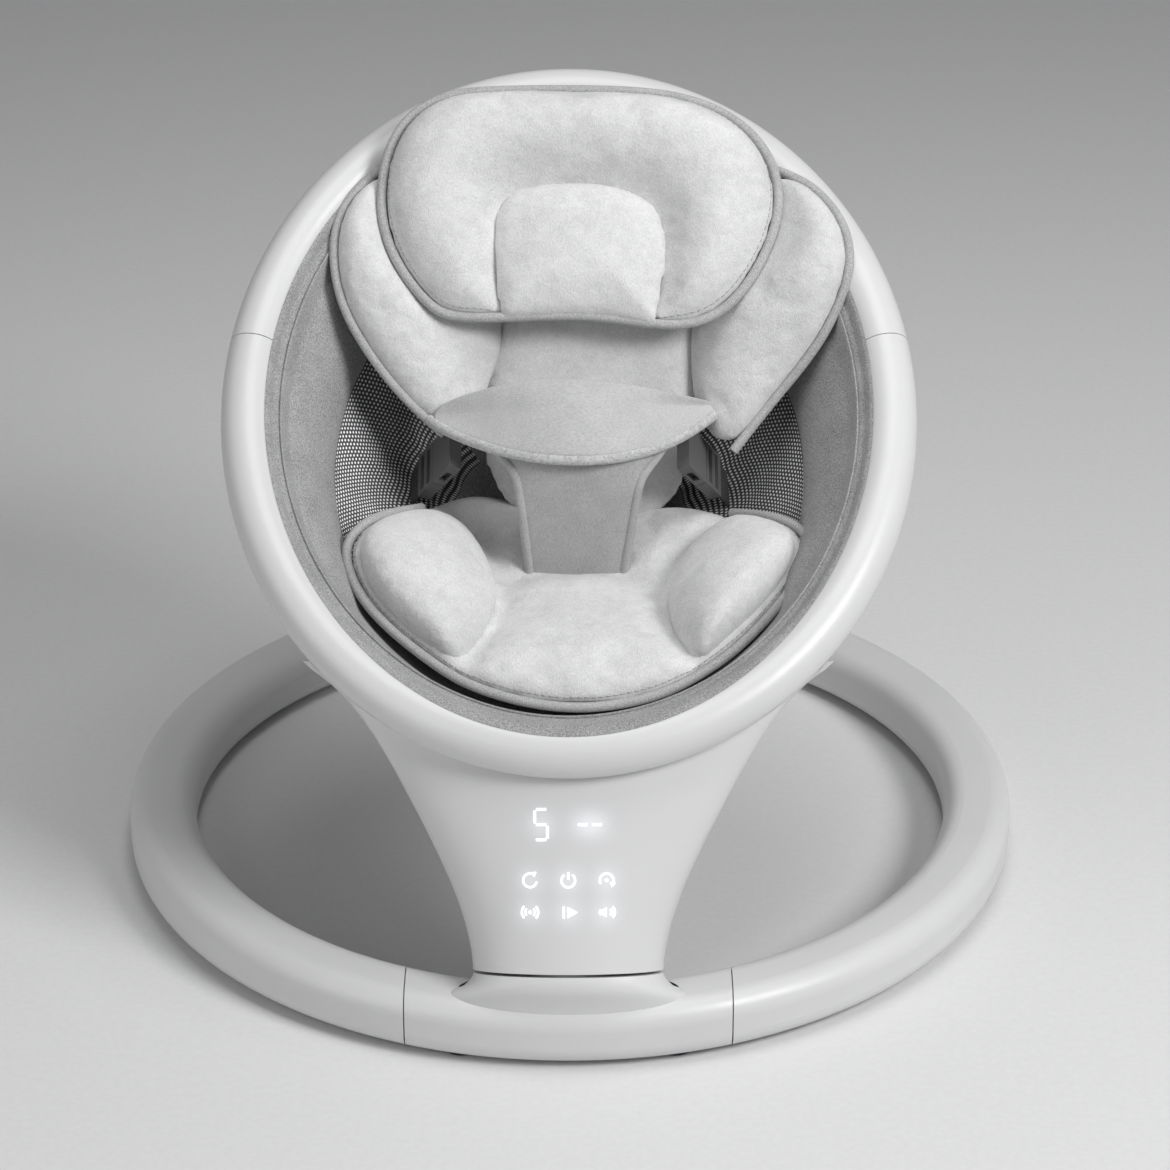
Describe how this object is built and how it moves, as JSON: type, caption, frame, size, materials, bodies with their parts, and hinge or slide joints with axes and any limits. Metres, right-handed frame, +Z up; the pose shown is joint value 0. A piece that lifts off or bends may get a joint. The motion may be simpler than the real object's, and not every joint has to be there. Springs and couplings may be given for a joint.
{
  "type": "baby swing",
  "caption": "Infant swing: oval floor ring, trumpet column on a tilted pivot, and an oval hoop holding a padded sling seat with waist belt and crotch strap.",
  "frame": {"origin": "centre of the floor ring at floor level", "axes": "+Z up, front of the swing faces -Y, +X to the right as seen from the front"},
  "size_m": [0.62, 0.644, 0.5135],
  "materials": {
    "white_shell": "satin",
    "white_tube": "satin",
    "inner_plastic": "matte",
    "bushing": "matte",
    "steel": "satin",
    "post_steel": "satin",
    "rubber": "matte",
    "black_plastic": "matte",
    "magnet": "satin",
    "copper": "satin",
    "board": "matte",
    "light_guide": "matte",
    "melange": "woven",
    "mesh": "open mesh",
    "plush": "short pile",
    "waist": "smooth knit",
    "strap": "woven",
    "webbing": "woven",
    "buckle": "matte"
  },
  "bodies": {
    "base": {"base_front_housing": "white_shell", "base_bottom_cover": "white_shell", "base_cover_screws": "steel", "base_leg_left": "white_shell", "base_leg_right": "white_shell", "rear_leg_joiner": "inner_plastic", "joiner_screws": "steel", "rubber_feet": "rubber", "post_bracket": "post_steel", "bracket_screws": "steel", "swing_post": "post_steel", "thrust_washer": "bushing", "magnet_arm": "inner_plastic", "drive_magnet": "magnet", "post_nut": "steel", "power_inlet": "black_plastic"},
    "seat": {"column_front_shell": "white_shell", "column_rear_shell": "white_shell", "column_screws": "steel", "bearing_sleeve": "inner_plastic", "lower_bushing": "bushing", "upper_bushing": "bushing", "coil_bobbin": "inner_plastic", "coil_winding": "copper", "control_board": "board", "display_light_guide": "light_guide", "speaker": "black_plastic", "hoop_lower": "white_tube", "hoop_upper": "white_tube", "hoop_joiner_left": "inner_plastic", "hoop_joiner_right": "inner_plastic", "hoop_screws": "steel", "seat_sling": "melange", "mesh_panel_left": "mesh", "mesh_panel_right": "mesh", "back_pad": "plush", "seat_pad": "plush", "wing_left": "plush", "wing_right": "plush", "thigh_bolster_left": "plush", "thigh_bolster_right": "plush", "head_bolster": "plush", "head_center_pad": "plush", "waist_pad": "waist", "crotch_strap": "strap", "webbing_left": "webbing", "webbing_right": "webbing", "buckle_socket_left": "buckle", "buckle_socket_right": "buckle"},
    "hoop_button_left": {"hoop_button_left": "inner_plastic"},
    "hoop_button_right": {"hoop_button_right": "inner_plastic"},
    "leg_button_left": {"leg_button_left": "inner_plastic"},
    "leg_button_right": {"leg_button_right": "inner_plastic"},
    "buckle_plug_left": {"buckle_plug_left": "buckle"},
    "buckle_plug_right": {"buckle_plug_right": "buckle"}
  },
  "joints": [
    {"name": "seat_swing", "type": "hinge", "parent": "base", "child": "seat", "pos_m": [0, -0.286, 0.053], "axis": [0, 0.4226, 0.9063], "range_deg": [-16, 16]},
    {"name": "hoop_button_left_press", "type": "slide", "parent": "seat", "child": "hoop_button_left", "axis": [0, -0.6018, 0.7986], "range_m": [0, 0.0035], "stiffness_N_per_m": 600},
    {"name": "hoop_button_right_press", "type": "slide", "parent": "seat", "child": "hoop_button_right", "axis": [0, -0.6018, 0.7986], "range_m": [0, 0.0035], "stiffness_N_per_m": 600},
    {"name": "leg_button_left_press", "type": "slide", "parent": "base", "child": "leg_button_left", "axis": [0, -1, 0], "range_m": [0, 0.004], "stiffness_N_per_m": 600},
    {"name": "leg_button_right_press", "type": "slide", "parent": "base", "child": "leg_button_right", "axis": [0, -1, 0], "range_m": [0, 0.004], "stiffness_N_per_m": 600},
    {"name": "buckle_left_release", "type": "slide", "parent": "seat", "child": "buckle_plug_left", "axis": [-0.4695, 0.5314, -0.7052], "range_m": [0, 0.016]},
    {"name": "buckle_right_release", "type": "slide", "parent": "seat", "child": "buckle_plug_right", "axis": [0.4695, 0.5314, -0.7052], "range_m": [0, 0.016]}
  ]
}
